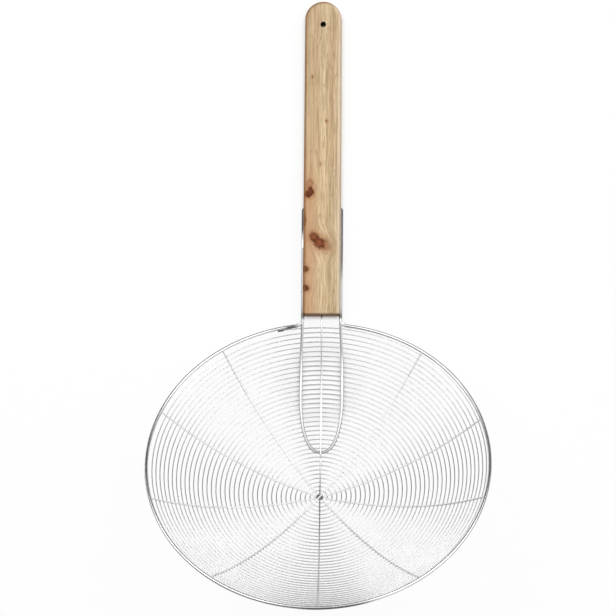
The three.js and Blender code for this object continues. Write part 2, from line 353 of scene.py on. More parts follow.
def spiral_arc(azimuth):
    """Arc length of the spiral at an azimuth that counts its turns."""
    return SPIRAL_INNER_ARC + SPIRAL_PITCH * (azimuth - SPIRAL_FIRST_AZIMUTH) / 360


def spiral_path(steps_per_turn=120):
    """Archimedean spiral on the bowl, at a steady pitch, whose last few degrees ease out to the rim."""
    azimuth = np.linspace(SPIRAL_FIRST_AZIMUTH, SPIRAL_END_AZIMUTH, SPIRAL_TURNS * steps_per_turn + 1)
    ease = smooth_step(azimuth, SPIRAL_END_AZIMUTH - SPIRAL_EASE, SPIRAL_END_AZIMUTH)
    return bowl(spiral_arc(azimuth) + ease * (SPIRAL_RIM_GAP + WELD_SINK), azimuth, 0)


# Meshes
def mesh_piece(name, points, face_groups):
    """Object of the points and of groups of faces, each an array with a column for each of their corners."""
    corners = np.concatenate([np.ravel(group) for group in face_groups])
    counts = np.concatenate([np.full(len(group), group.shape[1]) for group in face_groups])
    mesh = bpy.data.meshes.new(name)
    mesh.vertices.add(len(points))
    mesh.vertices.foreach_set("co", np.ascontiguousarray(points, np.float32).ravel())
    mesh.loops.add(len(corners))
    mesh.loops.foreach_set("vertex_index", corners.astype(np.int32))
    mesh.polygons.add(len(counts))
    mesh.polygons.foreach_set("loop_start", (np.cumsum(counts) - counts).astype(np.int32))
    mesh.update(calc_edges=True)
    mesh.validate()
    mesh.shade_smooth()
    piece = bpy.data.objects.new(name, mesh)
    bpy.context.scene.collection.objects.link(piece)
    return piece


def grid_faces(rings, sides):
    """Quads between each ring of points and the next, closed round the ring."""
    ring, side = np.meshgrid(np.arange(rings - 1), np.arange(sides), indexing="ij")
    after = (side + 1) % sides
    low, high = ring * sides, (ring + 1) * sides
    return np.stack([low + side, low + after, high + after, high + side], axis=-1).reshape(-1, 4)


def wire_surface(path, wire, sides):
    """Rings path + r (cos a N + sin a B), with the length along the wire, cos a and sin a of each point.

    T runs along the path, N is the basket's axis made square to T, and B = T x N. Each end closes in a dome:
    rings of radius r cos b, moved on by the dome's height times sin b.
    """
    tangent = unit(np.gradient(path, axis=0))
    tangent[0] = unit(path[1] - path[0])
    tangent[-1] = unit(path[-1] - path[-2])
    dome = END_DOME * wire
    shrink = np.cos(END_DOME_ANGLES)
    first = path[0] - tangent[0] * (dome * np.sin(END_DOME_ANGLES[::-1]))[:, None]
    last = path[-1] + tangent[-1] * (dome * np.sin(END_DOME_ANGLES))[:, None]
    centre = np.vstack([first, path, last])
    radius = np.concatenate([shrink[::-1], np.ones(len(path)), shrink]) * wire / 2
    more = len(END_DOME_ANGLES)
    direction = np.vstack([np.repeat(tangent[:1], more, 0), tangent, np.repeat(tangent[-1:], more, 0)])
    normal = unit(BASKET_AXIS - (direction @ BASKET_AXIS)[:, None] * direction)
    binormal = np.cross(direction, normal)
    turn = np.arange(sides) * 2 * math.pi / sides
    round_off = np.cos(turn)[:, None] * normal[:, None] + np.sin(turn)[:, None] * binormal[:, None]
    points = centre[:, None] + radius[:, None, None] * round_off
    drawn = rows(length_along(centre)[:, None], np.cos(turn)[None], np.sin(turn)[None])
    return points, drawn


def painted_shade_on_rim(path):
    """Painted shade on the rim: full over a length from each end, and gone at one and a half times that
    length.

    More painted shade lies on its inner side at the left of the neck, where the spiral ends, and on its
    outer side opposite the handle.
    """
    run = length_along(path)
    first, last = RIM_END_PAINTED_SHADE
    # painted shade along the rim's ends, where they run up the handle's sides
    ends = 1 - smooth_step(np.minimum(run / first, (run[-1] - run) / last), 1, 1.5)
    at_neck = path[:, 1] > 0
    # painted shade on the inner side beside the neck, and on the outer side opposite the handle
    seam = between(path[:, 0], SEAM_PAINTED_SHADE) * at_neck
    far = between(path[:, 0], FAR_RIM_PAINTED_SHADE) * FAR_RIM_DEPTH * ~at_neck
    inward = np.sin(np.arange(RIM_SIDES) * 2 * math.pi / RIM_SIDES)
    inner = smooth_step(inward, -0.1, 0.4)
    outer = smooth_step(-inward, 0.5, 0.85)
    return ends[:, None] + seam[:, None] * inner + far[:, None] * outer


def painted_shade_at_handle(path):
    """Painted shade where a wire meets the handle: full at its end face, thin beside it, more up its right
    side.
    """
    lean, rise = math.cos(HANDLE_RISE), math.sin(HANDLE_RISE)
    along = (path[:, 1] - NECK_CORNER_Y) * lean + path[:, 2] * rise - NECK_LENGTH
    right_leg = RIGHT_LEG_PAINTED_SHADE * (path[:, 0] > 0) * smooth_step(along, *RIGHT_LEG_STRETCH)
    beside = smooth_step(along, *MOUTH_PAINTED_SHADE[2:]) * (SIDE_PAINTED_SHADE + right_leg)
    # painted shade at the handle's end face and along its sides, more up the right leg
    return (between(along, MOUTH_PAINTED_SHADE) + beside)[:, None]


def painted_shade_and_darkening_on_support(path):
    """Painted shade at the handle, and a darkening on the round end of the U that thins out along its legs.
    """
    # darker on the round end of the U, thinning out along its legs
    darkening = SUPPORT_DARKENING * (1 - smooth_step(path[:, 1], *SUPPORT_DARKENING_STRETCH))
    return painted_shade_at_handle(path) + darkening[:, None]


def painted_shade_on_spine(path):
    """Painted shade at the handle, and painted shade for a dark reflection that thickens towards the far
    rim.
    """
    # painted shade towards the far rim, standing in for a dark reflection
    darkening = SPINE_PAINTED_SHADE * smooth_step(-path[:, 1], *SPINE_PAINTED_SHADE_STRETCH)
    return painted_shade_at_handle(path) + darkening[:, None]


def wire_piece(name, path, wire, sides, node, finish, painted_shade_and_darkening=0.0):
    """A wire of the basket: the surface above along the path, standing for a node of the construction."""
    points, drawn = wire_surface(placed(path), wire, sides)
    rings = len(points)
    order = np.arange(sides)
    caps = np.stack([order[::-1], (rings - 1) * sides + order])
    piece = mesh_piece(name, points.reshape(-1, 3), [grid_faces(rings, sides), caps])
    attribute = piece.data.attributes.new("drawn", "FLOAT_VECTOR", "POINT")
    attribute.data.foreach_set("vector", drawn.astype(np.float32).ravel())
    more = len(END_DOME_ANGLES)
    # each point's painted shade and darkening, carried on to the domes at the ends
    dark = np.pad(np.broadcast_to(painted_shade_and_darkening, (len(path), sides)), ((more, more), (0, 0)), mode="edge")
    attribute = piece.data.attributes.new("painted_shade_and_darkening", "FLOAT", "POINT")
    attribute.data.foreach_set("value", dark.astype(np.float32).ravel())
    return dress(piece, node, finish)


def dress(piece, node, finish):
    """Puts a finish on a piece and ties it to the construction."""
    piece.data.materials.clear()
    piece.data.materials.append(finish)
    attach(piece, "root")
    if node:
        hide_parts(node)
    return piece


# Shader maths
class Socket:
    """An output of a shader node. Arithmetic on it adds Math nodes."""

    def __init__(self, shader, output):
        self.shader = shader
        self.output = output

    def math(self, operation, *values):
        inputs = dict(enumerate(values))
        return self.shader.node("ShaderNodeMath", {"operation": operation}, inputs)

    def __add__(self, other):
        return self.math("ADD", self, other)

    def __radd__(self, other):
        return self.math("ADD", other, self)

    def __sub__(self, other):
        return self.math("SUBTRACT", self, other)

    def __rsub__(self, other):
        return self.math("SUBTRACT", other, self)

    def __mul__(self, other):
        return self.math("MULTIPLY", self, other)

    def __rmul__(self, other):
        return self.math("MULTIPLY", other, self)

    def __abs__(self):
        return self.math("ABSOLUTE", self)

    def __neg__(self):
        return self.math("MULTIPLY", self, -1.0)

    def root(self):
        return self.math("SQRT", self)

    def at_most(self, other):
        return self.math("MINIMUM", self, other)

    def at_least(self, other):
        return self.math("MAXIMUM", self, other)

    def step(self, low, high):
        """0 below low and 1 above high, with a smooth slope between."""
        values = {"Value": self, "From Min": low, "From Max": high}
        return self.shader.node("ShaderNodeMapRange", {"interpolation_type": "SMOOTHSTEP"}, values)


class Shader:
    """The node tree of a material or of the world."""

    def __init__(self, tree):
        self.tree = tree
        tree.nodes.clear()

    def node(self, kind, settings=None, inputs=None, output=0):
        """Adds a node: its settings are set first, then each of its sockets gets a value or a link."""
        made = self.tree.nodes.new(kind)
        for name, value in (settings or {}).items():
            setattr(made, name, value)
        for name, value in (inputs or {}).items():
            socket = made.inputs[name]
            if isinstance(value, Socket):
                self.tree.links.new(value.output, socket)
            else:
                socket.default_value = value
        return Socket(self, made.outputs[output]) if len(made.outputs) else made

    def mix(self, share, first, second):
        """Colour between two colours."""
        first, second = [c if isinstance(c, Socket) else (*c, 1) for c in (first, second)]
        return self.node(
            "ShaderNodeMix", {"data_type": "RGBA"}, {0: share, 6: first, 7: second}, output=2
        )

    def shade(self, share, colour, tone):
        """Colour multiplied by a tone, as far as the share says."""
        settings = {"data_type": "RGBA", "blend_type": "MULTIPLY"}
        return self.node("ShaderNodeMix", settings, {0: share, 6: colour, 7: (*tone, 1)}, output=2)

    def stretch(self, vector, scale, offset=(0, 0, 0)):
        """A vector stretched by a scale and moved."""
        return self.node("ShaderNodeMapping", {}, {"Vector": vector, "Scale": scale, "Location": offset})

    def noise(self, vector, detail=2.0, roughness=0.5):
        """Noise from 0 to 1 at one feature a unit."""
        inputs = {"Vector": vector, "Scale": 1.0, "Detail": detail, "Roughness": roughness}
        return self.node("ShaderNodeTexNoise", {}, inputs)

    def parts(self, vector):
        """The three numbers of a vector."""
        split = self.node("ShaderNodeSeparateXYZ", {}, {"Vector": vector}).output.node
        return [Socket(self, output) for output in split.outputs]

    def bump(self, height, strength, distance):
        """Normal of a surface with a height on it."""
        return self.node(
            "ShaderNodeBump", {}, {"Height": height, "Strength": strength, "Distance": distance}
        )

    def surface(self, **sockets):
        """Ends the tree in a Principled shader with these sockets."""
        inputs = {name.replace("_", " "): value for name, value in sockets.items()}
        shader = self.node("ShaderNodeBsdfPrincipled", {}, inputs)
        self.node("ShaderNodeOutputMaterial", {}, {"Surface": shader})


def new_material(name):
    """A bare material and the shader that fills it."""
    material = bpy.data.materials.new(name)
    material.use_nodes = True
    return material, Shader(material.node_tree)


# Tones of the steel's painted shade and darkening, and of its welds with their painted highlight
PAINTED_SHADE_AND_DARKENING_BLACK = (0.05, 0.047, 0.045)
BURNT_WELD = (0.09, 0.085, 0.08)
GREY_WELD = (0.36, 0.35, 0.34)
LIT_WELD = (0.80, 0.80, 0.80)

# Painted highlight that makes the welds paler: from the middle of the basket to beside the neck along y, and
# away from the support along x
LIT_WELD_START = (0, 30 * MM)
LIT_WELD_END = (98 * MM, 106 * MM)
LIT_WELD_ASIDE = (15 * MM, 22 * MM)
LIT_WELD_SHARE = 0.85


def drawn_steel(name, bright, dull, smooth, rough):
    """Drawn wire: long die lines that follow the wire, over slow changes of tone and polish, and painted
    shade and darkening.
    """
    material, shader = new_material(name)
    drawn = shader.node("ShaderNodeAttribute", {"attribute_name": "drawn"}, output="Vector")
    place = shader.node("ShaderNodeTexCoord", output="Object")
    lines = shader.noise(shader.stretch(drawn, (45, 4.5, 4.5)), 3.0, 0.6)
    cloud = shader.noise(shader.stretch(place, (55, 55, 55)), 3.0, 0.55)
    tone = (lines * 0.5 + cloud * 0.5).step(0.32, 0.68)
    painted_shade_and_darkening = shader.node("ShaderNodeAttribute", {"attribute_name": "painted_shade_and_darkening"}, output="Fac")
    colour = shader.mix(tone, dull, bright)
    # painted shade and darkening from the wire's attribute blacken the steel and roughen it
    colour = shader.mix(painted_shade_and_darkening * (0.75 + 0.25 * tone), colour, PAINTED_SHADE_AND_DARKENING_BLACK)
    shader.surface(
        Base_Color=colour,
        Metallic=1.0,
        Roughness=rough - (rough - smooth) * tone + painted_shade_and_darkening * 0.2,
        Normal=shader.bump(lines, 0.12, 0.02 * MM),
    )
    return material


def weld_steel():
    """Weld spot: steel dulled and tinted by heat, with a painted highlight that makes it paler on the side
    of the basket next to the handle.
    """
    material, shader = new_material("weld_steel")
    place = shader.node("ShaderNodeTexCoord", output="Object")
    cloud = shader.noise(shader.stretch(place, (700, 700, 700)), 2.0, 0.5)
    tint = shader.mix(cloud.step(0.35, 0.65), BURNT_WELD, GREY_WELD)
    x, y = shader.parts(place)[:2]
    hub_y = float(placed(bowl(0, 0, 0))[1])
    # painted highlight: welds paler over the side of the basket next to the handle
    lit_welds = y.step(hub_y + LIT_WELD_START[0], hub_y + LIT_WELD_START[1]) * abs(x).step(*LIT_WELD_ASIDE)
    lit_welds = lit_welds * (1 - y.step(hub_y + LIT_WELD_END[0], hub_y + LIT_WELD_END[1]))
    shader.surface(
        Base_Color=shader.mix(lit_welds * LIT_WELD_SHARE, tint, LIT_WELD),
        Metallic=1.0,
        Roughness=0.42 + 0.2 * cloud,
        Normal=shader.bump(cloud, 0.3, 0.05 * MM),
    )
    return material


# Knots: x and y on the handle in mm, half width and half length, lean, strength, and how red its middle is
KNOTS = (
    (-5.2, 51.0, 3.3, 3.4, 0.1, 0.95, 0.7),
    (-1.9, 47.2, 3.6, 4.3, 0.2, 0.95, 0.8),
    (2.6, 46.0, 3.8, 4.4, 0.2, 0.45, 1.0),
    (-9.2, 79.4, 2.7, 2.6, 0.0, 1.0, 0.0),
    (-7.5, 81.4, 2.3, 3.2, 0.1, 1.0, 0.1),
    (-7.9, 86.4, 2.5, 3.6, 0.0, 0.4, 1.0),
    (-11.6, 62.3, 1.4, 4.8, 0.0, 0.8, 0.3),
    (-10.8, 29.8, 2.5, 2.4, 0.0, 1.0, 0.0),
    (-10.7, 17.4, 2.6, 2.4, 0.0, 1.0, 0.0),
    (-6.8, 157.7, 0.7, 1.6, 0.0, 0.65, 0.5),
    (2.6, 128.2, 0.8, 1.1, 0.0, 0.6, 0.5),
    (-1.2, 99.4, 0.7, 1.6, 0.0, 0.45, 0.6),
)

# Tones of the wood, and of the painted shade and light on its edges, in its hanging hole and on its right
# side
PALE_WOOD = (0.78, 0.615, 0.395)
TAN_WOOD = (0.66, 0.495, 0.295)
BROWN_GRAIN = (0.34, 0.21, 0.10)
WARM_WOOD = (0.50, 0.35, 0.19)
WARM_WOOD_AT_BASKET = (0.54, 0.29, 0.16)
PAINTED_DIM_SHADE = (0.875, 0.865, 0.865)
KNOT_HALO = (0.45, 0.21, 0.095)
KNOT_DARK = (0.105, 0.026, 0.006)
KNOT_RED = (0.35, 0.10, 0.035)
PAINTED_EDGE_SHADE = (0.22, 0.095, 0.03)
PAINTED_TIP_SHADE = (0.06, 0.03, 0.015)
PAINTED_EDGE_LIGHT = (0.76, 0.62, 0.45)
PAINTED_OUTER_EDGE_SHADE = (0.40, 0.33, 0.25)
END_GRAIN = (0.19, 0.10, 0.055)
PAINTED_HOLE_SHADE = (0.02, 0.01, 0.005)


def knot_masks(shader, plain, across, along, sunk):
    """How far the knots push the grain aside, and masks of their hearts, middles and halos.

    Each is a sum over the knots of a falling function of far, the distance from the knot in its own half
    sizes, with a ragged outline.
    """
    rough = shader.noise(shader.stretch(plain, (0.33, 0.22, 0.2)), 3.0, 0.6) - 0.5
    ragged = shader.noise(shader.stretch(plain, (0.4, 0.3, 0.2), (5, 8, 2)), 3.0, 0.6) - 0.5
    bend = heart = middle = halo = 0.0
    for knot_x, knot_y, wide, tall, lean, strength, redness in KNOTS:
        off_y = (along - knot_y + ragged * (0.9 * tall)) * (1 / tall)
        off_x = (across - knot_x + off_y * (lean * tall) + rough * (1.2 * wide)) * (1 / wide)
        off_z = (sunk + rough * 2.0) * (0.5 / wide)
        far = (off_x * off_x + off_y * off_y + off_z * off_z).root()
        bend = (1 - far.step(0.5, 3.4)) * off_x * (0.6 * wide) + bend
        heart = (1 - far.step(0.55, 1.25)) * strength + heart
        middle = (1 - far.step(0.15, 0.8)) * redness + middle
        halo = (1 - far.step(0.8, 2.2)) * (0.6 * strength) + halo
    return bend, heart, middle, halo


def plain_wood(shader, grain, across, along):
    """Colour of the wood without knots: bands, lines, fibres and flecks along the grain.

    It is warmer on the left, most of all near the basket, and painted shade dims it on the right and towards
    the tip. The lines, fibres and flecks are returned too.
    """
    bands = shader.noise(shader.stretch(grain, (0.22, 0.004, 0.16)), 2.0, 0.5)
    lines = shader.noise(shader.stretch(grain, (1.0, 0.014, 0.6), (7, 3, 1)), 2.0, 0.6)
    fibre = shader.noise(shader.stretch(grain, (1.7, 0.06, 1.2), (3, 5, 2)), 3.0, 0.6)
    flecks = shader.noise(shader.stretch(grain, (1.4, 0.16, 1.0), (1, 9, 4)), 1.0, 0.5)
    colour = shader.mix(bands.step(0.34, 0.64), TAN_WOOD, PALE_WOOD)
    colour = shader.mix(lines.step(0.42, 0.66) * 0.42, colour, BROWN_GRAIN)
    colour = shader.mix(fibre.step(0.42, 0.62) * 0.48, colour, BROWN_GRAIN)
    colour = shader.mix(flecks.step(0.56, 0.72) * 0.55, colour, BROWN_GRAIN)
    near_end = 1 - along.step(70.0, 140.0)
    warm = (1 - across.step(-10.5, 0.0)) * (0.35 + 0.4 * near_end)
    colour = shader.mix(warm, colour, shader.mix(near_end, WARM_WOOD, WARM_WOOD_AT_BASKET))
    # painted shade: the wood dimmed on the right and towards the tip
    painted_dim = across.step(-1.0, 9.0).at_least(along.step(100.0, 185.0))
    return shader.shade(painted_dim, colour, PAINTED_DIM_SHADE), lines, fibre, flecks


def painted_edge_light_and_shade(shader, colour, across, along, height):
    """The colour with painted shade and light on its upper edges: dark on the left and round the tip, with a
    darker line on the tip's steep edge, and pale, then grey at the outside, on the right.

    They are told by the distance from the handle's middle line, which ends at the centre of the round tip.
    """
    past_tip = (along - (HANDLE_LENGTH - HANDLE_TIP_WIDTH / 2) / MM).at_least(0.0)
    from_axis = (across * across + past_tip * past_tip).root()
    upper = height.step(1.6, 4.0)
    # painted shade on the rounded edge at the left and round the tip
    edge_shade = from_axis.step(9.7, 11.2) * (past_tip * 1.3 - across).step(-3.0, 9.0)
    colour = shader.mix(edge_shade * (0.15 + 0.52 * upper), colour, PAINTED_EDGE_SHADE)
    # painted shade: a dark line on the steep edge round the tip
    line = from_axis.step(11.0, 11.8) * (past_tip - across).step(4.0, 14.0) * past_tip.step(0.5, 4.0)
    colour = shader.mix(line * upper * 0.55, colour, PAINTED_TIP_SHADE)
    # painted light on the rounded edge at the right, then painted grey shade on its outer part
    lit_edge = from_axis.step(9.4, 10.4) * across.step(2.0, 9.0) * upper
    colour = shader.mix(lit_edge * 0.5, colour, PAINTED_EDGE_LIGHT)
    return shader.mix(lit_edge * from_axis.step(10.9, 11.7) * 0.7, colour, PAINTED_OUTER_EDGE_SHADE)


def end_grain_and_hole_shade(shader, colour, across, along):
    """The colour with the dark end grain next to the basket, and painted shade in and round the hanging
    hole.
    """
    facing = shader.node("ShaderNodeNewGeometry", output="Normal")
    end_grain = (1 - along.step(0.2, 1.4)) * abs(shader.parts(facing)[1]).step(0.3, 0.9)
    colour = shader.mix(end_grain * 0.8, colour, END_GRAIN)
    hole_y = along - (HANDLE_LENGTH - HANGING_HOLE_FROM_TIP) / MM
    bore = (across * across + hole_y * hole_y).root()
    # painted shade: the hanging hole's wall and mouth nearly black
    hole_shade = 1 - bore.step(0.5 * HANGING_HOLE / MM, 0.62 * HANGING_HOLE / MM)
    return shader.mix(hole_shade, colour, PAINTED_HOLE_SHADE)


def handle_wood():
    """Bare light wood whose grain parts round reddish knots. Lengths are in mm from the basket end."""
    material, shader = new_material("handle_wood")
    x, y, z = shader.parts(shader.node("ShaderNodeTexCoord", output="Object"))
    end = placed(handle_at(0, 0, 0))
    across = x * (1 / MM)
    along = (y - float(end[1])) * (1 / MM)
    deep = (z - float(end[2])) * (1 / MM)
    height = deep + along * math.tan(TABLE_ROLL - HANDLE_RISE)
    sunk = 0.5 * HANDLE_THICKNESS / MM - height
    plain = shader.node("ShaderNodeCombineXYZ", {}, {0: across, 1: along, 2: deep})

    bend, heart, middle, halo = knot_masks(shader, plain, across, along, sunk)
    flow = across - bend + (shader.noise(shader.stretch(plain, (0.05, 0.018, 0.05))) - 0.5) * 3.0
    grain = shader.node("ShaderNodeCombineXYZ", {}, {0: flow, 1: along, 2: deep})
    colour, lines, fibre, flecks = plain_wood(shader, grain, across, along)

    colour = shader.mix(halo.at_most(0.7), colour, KNOT_HALO)
    swirl = shader.noise(shader.stretch(grain, (1.1, 0.5, 0.6)), 2.0, 0.6).step(0.25, 0.6)
    red = middle * 0.7 + (1 - swirl) * 0.3
    knot = shader.mix(red.at_most(1.0), KNOT_DARK, KNOT_RED)
    colour = shader.mix(heart.at_most(1.0), colour, knot)
    colour = painted_edge_light_and_shade(shader, colour, across, along, height)
    colour = end_grain_and_hole_shade(shader, colour, across, along)
    shader.surface(
        Base_Color=colour,
        Roughness=0.52 + 0.16 * lines,
        Specular_IOR_Level=0.14,
        Normal=shader.bump(flecks.step(0.60, 0.76) + fibre * 0.6, -0.35, 0.06 * MM),
    )
    return material


# Handle
def handle_outline(corner_steps=6, tip_steps=48, side_steps=24):
    """Outline of the handle and its outward normals: two round corners, straight sides and a round tip."""
    tip = HANDLE_TIP_WIDTH / 2
    quarter = np.linspace(0, math.pi / 2, corner_steps + 1)
    half = np.linspace(0, math.pi, tip_steps + 1)
    right = quarter - math.pi / 2
    left = quarter + math.pi
    centre_x = HALF_WIDTH - HANDLE_CORNER
    side = np.linspace(HANDLE_CORNER, HANDLE_LENGTH - tip, side_steps + 1)[1:-1]
    straight = HANDLE_LENGTH - tip - HANDLE_CORNER
    half_width = HALF_WIDTH + (tip - HALF_WIDTH) * (side - HANDLE_CORNER) / straight
    flat = np.zeros_like(side)
    x = np.concatenate([
        centre_x + HANDLE_CORNER * np.cos(right), half_width, tip * np.cos(half),
        -half_width[::-1], -centre_x + HANDLE_CORNER * np.cos(left),
    ])
    y = np.concatenate([
        HANDLE_CORNER + HANDLE_CORNER * np.sin(right), side, HANDLE_LENGTH - tip + tip * np.sin(half),
        side[::-1], HANDLE_CORNER + HANDLE_CORNER * np.sin(left),
    ])
    angle = np.concatenate([right, flat, half, flat + math.pi, left])
    return np.stack([x, y], axis=-1), np.stack([np.cos(angle), np.sin(angle)], axis=-1)


def stick(name):
    """The handle's blank: the outline moved in by e (1 - sin b) at the height t / 2 - e (1 - cos b)."""
    outline, outward = handle_outline()
    turn = np.linspace(0, math.pi / 2, 7)
    top = HANDLE_THICKNESS / 2
    inset = np.concatenate([[HANDLE_EDGE * FACE_INSET], HANDLE_EDGE * (1 - np.sin(turn))])
    height = np.concatenate([[top], top - HANDLE_EDGE * (1 - np.cos(turn))])
    inset = np.concatenate([inset, inset[::-1]])
    height = np.concatenate([height, -height[::-1]])
    plan = outline[None] - inset[:, None, None] * outward[None]
    points = handle_at(plan[..., 0], plan[..., 1], height[:, None])
    rings, sides = points.shape[:2]
    order = np.arange(sides)
    faces = grid_faces(rings, sides)[:, ::-1]
    caps = np.stack([order, (rings - 1) * sides + order[::-1]])
    return mesh_piece(name, placed(points).reshape(-1, 3), [faces, caps])


def drill(start, end, wire):
    """A round cutter between two points of the handle: rings path + r (cos a N + sin a B) at both."""
    path = placed(np.stack([start, end]))
    axis = unit(path[1] - path[0])
    other = np.array([0.0, 0.0, 1.0]) if abs(axis[2]) < 0.9 else np.array([1.0, 0.0, 0.0])
    first = unit(np.cross(axis, other))
    second = np.cross(axis, first)
    turn = np.arange(DRILL_SIDES) * 2 * math.pi / DRILL_SIDES
    ring = wire / 2 * (np.cos(turn)[:, None] * first + np.sin(turn)[:, None] * second)
    points = (path[:, None] + ring[None]).reshape(-1, 3)
    order = np.arange(DRILL_SIDES)
    caps = np.stack([order[::-1], DRILL_SIDES + order])
    return mesh_piece("drill", points, [grid_faces(2, DRILL_SIDES), caps])


def handle_piece():
    """The stick less its hanging hole, the spine's hole, and a channel and side hole for each wire end."""
    piece = stick("wooden_handle")
    hole_y = HANDLE_LENGTH - HANGING_HOLE_FROM_TIP
    past = HANDLE_THICKNESS
    spine_end = handle_at(0, SPINE_DEPTH + LEAD_IN, 0)
    cutters = [
        drill(handle_at(0, hole_y, -past), handle_at(0, hole_y, past), HANGING_HOLE),
        drill(handle_at(0, -past, 0), spine_end, RIB_WIRE + 2 * WOOD_CLEARANCE),
    ]
    for side in (-1, 1):
        x = side * HALF_WIDTH
        for length, height, wire in (
            (TAIL_LENGTH, TAIL_HEIGHT, RIM_WIRE),
            (LEG_LENGTH, LEG_HEIGHT, SUPPORT_WIRE),
        ):
            width = wire + 2 * WOOD_CLEARANCE
            inner_x = x - side * (wire / 2 + WELD_GAP + STAKED_DEPTH + LEAD_IN)
            outer = handle_at(x + side * past, length, height)
            inner = handle_at(inner_x, length, height)
            cutters.append(drill(handle_at(x, -past, height), handle_at(x, length, height), width))
            cutters.append(drill(outer, inner, width))
    for cutter in cutters:
        cut = piece.modifiers.new("cut", "BOOLEAN")
        cut.operation = "DIFFERENCE"
        cut.solver = "EXACT"
        cut.object = cutter
    depsgraph = bpy.context.evaluated_depsgraph_get()
    whole = bpy.data.meshes.new_from_object(piece.evaluated_get(depsgraph))
    piece.modifiers.clear()
    piece.data = whole
    for cutter in cutters:
        bpy.data.objects.remove(cutter)
    piece.data.shade_smooth()
    piece.data.set_sharp_from_angle(angle=SHARP_ANGLE)
    return dress(piece, "handle", handle_wood())


# Welds
def weld_places():
    """Arc, azimuth, lift, half length and half width of each bead.

    One lies wherever a rib or the support crosses the spiral, one in the middle under the cross rib, and a
    row of them ties the spiral's end to the rim. Counted in turns, a wire is at (arc - first arc) / pitch -
    azimuth / 360 from the spiral's start, and it meets the spiral wherever that passes a whole number.
    """
    arc = np.linspace(BEAD_START * RIB_INNER_ARC, SPIRAL_OUTER_ARC, 4000)
    azimuths = np.array([SPINE_AZIMUTHS[1], *CROSS_RIB_AZIMUTHS, *RIB_AZIMUTHS], float)
    wires = [(arc, np.full_like(arc, azimuth), RIB_LIFT) for azimuth in azimuths]
    wires.append((arc[arc < SPINE_CLIMB_START * SUPPORT_END_ARC], SPINE_AZIMUTHS[0], RIB_LIFT))
    for side in (-1, 1):
        across, along = support_round(side, np.linspace(0, math.pi / 2, 2000))
        leg = np.linspace(SUPPORT_SHOULDER_ARC, SUPPORT_LIFT_OFF_ARC, 1000)
        across = np.concatenate([across, np.full_like(leg, side * SUPPORT_HALF_WIDTH)])
        along = np.concatenate([along, leg])
        wires.append((np.hypot(across, along), np.degrees(np.arctan2(along, across)), SUPPORT_LIFT))
    places = []
    for arc, azimuth, lift in wires:
        azimuth = np.broadcast_to(azimuth, arc.shape)
        turns = np.floor((arc - SPIRAL_INNER_ARC) / SPIRAL_PITCH - (azimuth - SPIRAL_FIRST_AZIMUTH) / 360)
        met = np.flatnonzero(np.diff(turns))
        size = np.full(len(met), lift)
        shares = (BEAD_PLACE * size, BEAD_HALF_LENGTH * size, BEAD_HALF_WIDTH * size)
        places.append(np.stack([arc[met], azimuth[met], *shares]))
    middle = np.array([[0, 0, RIB_LIFT, HUB_WELD, HUB_WELD]]).T
    last = SPIRAL_END_AZIMUTH + np.linspace(*END_BEAD_STRETCH, END_BEADS)
    size = np.full_like(last, END_BEAD_SHARE * SPIRAL_WIRE)
    end = np.stack([spiral_arc(last) + SPIRAL_RIM_GAP, last, 0 * last, size, size])
    return np.concatenate([*places, middle, end], axis=1)


def weld_piece(finish):
    """Flattened beads where a wire is welded to the spiral, each a sphere of a few dozen faces.

    A bead is centre + w cos b cos a S + l cos b sin a A + t sin b I, with A along the spiral, I into the
    bowl and S = A x I.
    """
    arc, azimuth, lift, long, wide = weld_places()
    sides, rings = BEAD_SIDES, BEAD_RINGS
    turn = np.arange(sides) * 2 * math.pi / sides
    rise = np.radians(np.linspace(-BEAD_CAP, BEAD_CAP, rings))
    flat_x = np.cos(rise)[:, None] * np.cos(turn)
    flat_y = np.cos(rise)[:, None] * np.sin(turn)
    up = np.sin(rise)[:, None] * np.ones(sides)
    tall = np.minimum(wide, BEAD_RISE * RIB_WIRE)
    centre = bowl(arc, azimuth, lift)
    inward = unit(np.array([0, 0, BOWL_CENTRE_Z]) - centre)
    turned = np.radians(azimuth)
    ahead = rows(-np.sin(turned), np.cos(turned), 0)
    aside = np.cross(ahead, inward)
    reach = (
        flat_x[None, ..., None] * (wide[:, None] * aside)[:, None, None]
        + flat_y[None, ..., None] * (long[:, None] * ahead)[:, None, None]
        + up[None, ..., None] * (tall[:, None] * inward)[:, None, None]
    )
    points = centre[:, None, None] + reach
    each = sides * rings
    order = np.arange(sides)
    first = np.arange(len(arc))[:, None, None] * each
    quads = (grid_faces(rings, sides)[None] + first).reshape(-1, 4)
    low = (order[::-1][None, None] + first).reshape(-1, sides)
    high = ((rings - 1) * sides + order[None, None] + first).reshape(-1, sides)
    piece = mesh_piece("weld_spots", placed(points.reshape(-1, 3)), [quads, np.vstack([low, high])])
    return dress(piece, None, finish)


# Pieces
steel = drawn_steel("drawn_steel", (0.82, 0.822, 0.825), (0.66, 0.662, 0.668), 0.12, 0.24)
dull_steel = drawn_steel("dull_drawn_steel", (0.84, 0.842, 0.845), (0.70, 0.702, 0.708), 0.28, 0.40)
thin_steel = drawn_steel("thin_drawn_steel", (0.82, 0.822, 0.825), (0.68, 0.682, 0.688), 0.14, 0.26)
rib_steel = drawn_steel("matt_drawn_steel", (0.93, 0.932, 0.935), (0.80, 0.802, 0.808), 0.42, 0.55)
handle_piece()
rim = rim_path()
wire_piece("basket_rim", rim, RIM_WIRE - RIM_PLAY, RIM_SIDES, "rim_wire", steel, painted_shade_on_rim(rim))
support = support_path()
support_painted_shade_and_darkening = painted_shade_and_darkening_on_support(support)
wire_piece("support_loop", support, SUPPORT_WIRE, SUPPORT_SIDES, "support_wire", dull_steel, support_painted_shade_and_darkening)
spine = spine_path()
